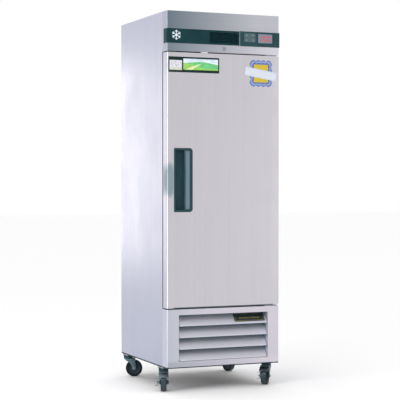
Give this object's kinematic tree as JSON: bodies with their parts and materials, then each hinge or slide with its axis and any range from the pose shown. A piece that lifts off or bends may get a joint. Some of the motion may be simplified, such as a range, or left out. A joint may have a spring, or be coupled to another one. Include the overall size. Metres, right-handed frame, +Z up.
{
  "type": "reach-in refrigerator",
  "caption": "Tall one-door commercial reach-in refrigerator: stainless cabinet on swivel casters, right-hung insulated door with recessed pull, header controls, lock, louvred base.",
  "frame": {"origin": "on the floor under the middle of the cabinet", "axes": "+Z up, -Y towards the door's side (the front), +X towards the door's hinge side"},
  "size_m": [0.738, 0.778, 2.112],
  "materials": {
    "brushed_stainless": "brushed",
    "galvanised_steel": "matt spangled zinc",
    "aluminium": "satin",
    "zinc_plate": "bright zinc",
    "black_plastic": "semi-gloss",
    "pale_plastic": "matt",
    "grey_gasket": "matt flexible vinyl",
    "black_rubber": "matt",
    "insulation_foam": "rigid polyurethane foam",
    "coated_wire": "plastic-coated steel wire",
    "black_enamel": "gloss enamel"
  },
  "bodies": {
    "cabinet": {"left_side_panel": "brushed_stainless", "right_side_panel": "brushed_stainless", "header_panel": "brushed_stainless", "lower_panel": "brushed_stainless", "louver_grille": "brushed_stainless", "door_frame": "brushed_stainless", "top_hinge": "brushed_stainless", "bottom_hinge": "brushed_stainless", "pilaster_left_front": "brushed_stainless", "pilaster_left_rear": "brushed_stainless", "pilaster_right_front": "brushed_stainless", "pilaster_right_rear": "brushed_stainless", "top_panel": "galvanised_steel", "rear_panel": "galvanised_steel", "base_pan": "galvanised_steel", "condensate_pan": "galvanised_steel", "inner_liner": "aluminium", "evaporator_cover": "aluminium", "evaporator_coil": "aluminium", "condenser_coil": "aluminium", "lock_barrel": "zinc_plate", "caster_plate_front_left": "zinc_plate", "caster_plate_front_right": "zinc_plate", "caster_plate_rear_left": "zinc_plate", "caster_plate_rear_right": "zinc_plate", "header_fascia": "black_plastic", "header_vent": "black_plastic", "control_panel": "black_plastic", "controller": "black_plastic", "nameplate": "black_plastic", "power_inlet": "black_plastic", "door_switch": "pale_plastic", "insulated_body": "insulation_foam", "shelf_1": "coated_wire", "shelf_2": "coated_wire", "shelf_3": "coated_wire", "compressor": "black_enamel", "condenser_fan_motor": "black_enamel"},
    "door": {"door_skin": "brushed_stainless", "door_core": "insulation_foam", "door_pan": "brushed_stainless", "door_gasket": "grey_gasket", "door_handle": "black_plastic"},
    "lock": {"lock_plug": "zinc_plate"},
    "evaporator_fan": {"evaporator_fan": "black_plastic"},
    "condenser_fan": {"condenser_fan": "black_plastic"},
    "key_1": {"key_1": "pale_plastic"},
    "key_2": {"key_2": "pale_plastic"},
    "key_3": {"key_3": "pale_plastic"},
    "key_4": {"key_4": "pale_plastic"},
    "front_left_fork": {"caster_fork_front_left": "zinc_plate"},
    "front_left_wheel": {"caster_wheel_front_left": "black_rubber"},
    "front_left_brake": {"caster_brake_front_left": "zinc_plate"},
    "front_right_fork": {"caster_fork_front_right": "zinc_plate"},
    "front_right_wheel": {"caster_wheel_front_right": "black_rubber"},
    "front_right_brake": {"caster_brake_front_right": "zinc_plate"},
    "rear_left_fork": {"caster_fork_rear_left": "zinc_plate"},
    "rear_left_wheel": {"caster_wheel_rear_left": "black_rubber"},
    "rear_right_fork": {"caster_fork_rear_right": "zinc_plate"},
    "rear_right_wheel": {"caster_wheel_rear_right": "black_rubber"}
  },
  "joints": [
    {"name": "door_swing", "type": "hinge", "parent": "cabinet", "child": "door", "pos_m": [0.323, -0.345, 1.175], "axis": [0, 0, 1], "range_deg": [0, 120]},
    {"name": "lock_turn", "type": "hinge", "parent": "cabinet", "child": "lock", "pos_m": [0, -0.3765, 1.9125], "axis": [0, 1, 0], "range_deg": [0, 90]},
    {"name": "key_1_press", "type": "slide", "parent": "cabinet", "child": "key_1", "axis": [0, 1, 0], "range_m": [0, 0.0012], "stiffness_N_per_m": 400, "springref_m": -0.0006},
    {"name": "key_2_press", "type": "slide", "parent": "cabinet", "child": "key_2", "axis": [0, 1, 0], "range_m": [0, 0.0012], "stiffness_N_per_m": 400, "springref_m": -0.0006},
    {"name": "key_3_press", "type": "slide", "parent": "cabinet", "child": "key_3", "axis": [0, 1, 0], "range_m": [0, 0.0012], "stiffness_N_per_m": 400, "springref_m": -0.0006},
    {"name": "key_4_press", "type": "slide", "parent": "cabinet", "child": "key_4", "axis": [0, 1, 0], "range_m": [0, 0.0012], "stiffness_N_per_m": 400, "springref_m": -0.0006},
    {"name": "evaporator_fan_spin", "type": "hinge", "parent": "cabinet", "child": "evaporator_fan", "pos_m": [0, -0.1, 1.95835], "axis": [0, 1, 0], "continuous": true},
    {"name": "condenser_fan_spin", "type": "hinge", "parent": "cabinet", "child": "condenser_fan", "pos_m": [-0.085, -0.2, 0.293], "axis": [0, 1, 0], "continuous": true},
    {"name": "front_left_swivel", "type": "hinge", "parent": "cabinet", "child": "front_left_fork", "pos_m": [-0.319, -0.262, 0.115], "axis": [0, 0, 1], "continuous": true},
    {"name": "front_left_roll", "type": "hinge", "parent": "front_left_fork", "child": "front_left_wheel", "pos_m": [-0.33154, -0.29468, 0.05], "axis": [-0.9336, 0.3584, 0], "continuous": true},
    {"name": "front_left_brake_rock", "type": "hinge", "parent": "front_left_fork", "child": "front_left_brake", "pos_m": [-0.33154, -0.29468, 0.05], "axis": [-0.9336, 0.3584, 0], "range_deg": [0, 20]},
    {"name": "front_right_swivel", "type": "hinge", "parent": "cabinet", "child": "front_right_fork", "pos_m": [0.319, -0.262, 0.115], "axis": [0, 0, 1], "continuous": true},
    {"name": "front_right_roll", "type": "hinge", "parent": "front_right_fork", "child": "front_right_wheel", "pos_m": [0.29794, -0.28995, 0.05], "axis": [-0.7986, 0.6018, 0], "continuous": true},
    {"name": "front_right_brake_rock", "type": "hinge", "parent": "front_right_fork", "child": "front_right_brake", "pos_m": [0.29794, -0.28995, 0.05], "axis": [-0.7986, 0.6018, 0], "range_deg": [0, 20]},
    {"name": "rear_left_swivel", "type": "hinge", "parent": "cabinet", "child": "rear_left_fork", "pos_m": [-0.319, 0.323, 0.115], "axis": [0, 0, 1], "continuous": true},
    {"name": "rear_left_roll", "type": "hinge", "parent": "rear_left_fork", "child": "rear_left_wheel", "pos_m": [-0.28632, 0.31046, 0.05], "axis": [-0.3584, -0.9336, 0], "continuous": true},
    {"name": "rear_right_swivel", "type": "hinge", "parent": "cabinet", "child": "rear_right_fork", "pos_m": [0.319, 0.323, 0.115], "axis": [0, 0, 1], "continuous": true},
    {"name": "rear_right_roll", "type": "hinge", "parent": "rear_right_fork", "child": "rear_right_wheel", "pos_m": [0.32508, 0.28853, 0.05], "axis": [-0.9848, -0.1736, 0], "continuous": true}
  ]
}
